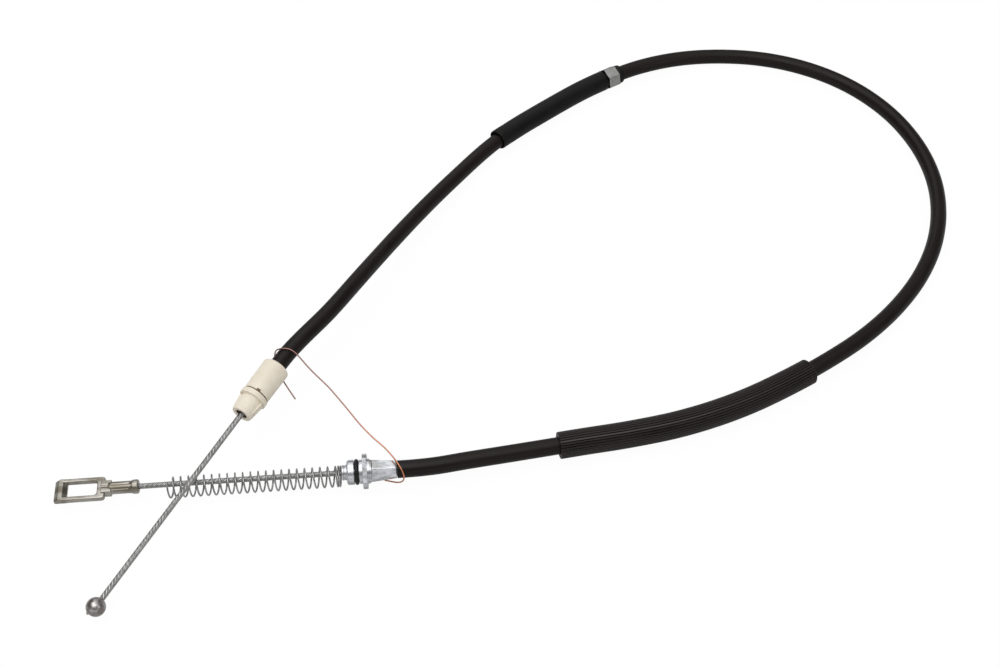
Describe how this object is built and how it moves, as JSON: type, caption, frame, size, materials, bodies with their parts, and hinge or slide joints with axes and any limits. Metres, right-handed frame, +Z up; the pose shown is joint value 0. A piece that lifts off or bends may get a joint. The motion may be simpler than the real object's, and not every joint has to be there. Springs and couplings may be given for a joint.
{
  "type": "parking brake cable",
  "caption": "Sheathed brake cable with a sliding wire rope: flat eye, return spring and flanged fitting at one end, ball and plastic bush at the other",
  "frame": {"origin": "on the surface that the cable lies on, under the middle of its overall box", "axes": "+Z up; +X along the longest way across the loop, from the eye towards the loop's far bend; the ball's end points to -X -Y"},
  "size_m": [0.6461, 0.5496, 0.0393],
  "materials": {
    "sheath_plastic": "satin black, slightly brown",
    "armour_steel": "plain drawn",
    "liner_plastic": "smooth natural",
    "rope_steel": "galvanised strands",
    "eye_steel": "forged, dull yellow-grey plating",
    "spring_steel": "bright zinc plated",
    "fitting_zinc": "bright zinc, blue tint",
    "seal_rubber": "black",
    "ball_zinc": "die cast, dull grey",
    "bush_plastic": "moulded cream, semi-gloss",
    "guard_rubber": "ribbed black",
    "sleeve_rubber": "smooth black",
    "band_steel": "matte zinc",
    "wire_copper": "bare copper"
  },
  "bodies": {
    "casing": {"casing_sheath": "sheath_plastic", "conduit_armour": "armour_steel", "conduit_liner": "liner_plastic", "inner_rope_middle": "rope_steel", "return_spring": "spring_steel", "backplate_fitting": "fitting_zinc", "o_ring": "seal_rubber", "bracket_bush": "bush_plastic", "ribbed_guard": "guard_rubber", "smooth_sleeve": "sleeve_rubber", "band_clamp": "band_steel", "tie_wire": "wire_copper"},
    "eye_end": {"lever_eye": "eye_steel", "inner_rope_eye_side": "rope_steel"},
    "ball_side": {"ball_end": "ball_zinc", "inner_rope_ball_side": "rope_steel"}
  },
  "joints": [
    {"name": "eye_slide", "type": "slide", "parent": "casing", "child": "eye_end", "axis": [-0.9968, -0.0802, 0], "range_m": [-0.015, 0.02]},
    {"name": "ball_slide", "type": "slide", "parent": "casing", "child": "ball_side", "axis": [-0.4897, -0.8656, -0.1045], "range_m": [-0.02, 0.015]}
  ],
  "couplings": [
    {"joint": "ball_slide", "follows": "eye_slide", "ratio": -1}
  ]
}
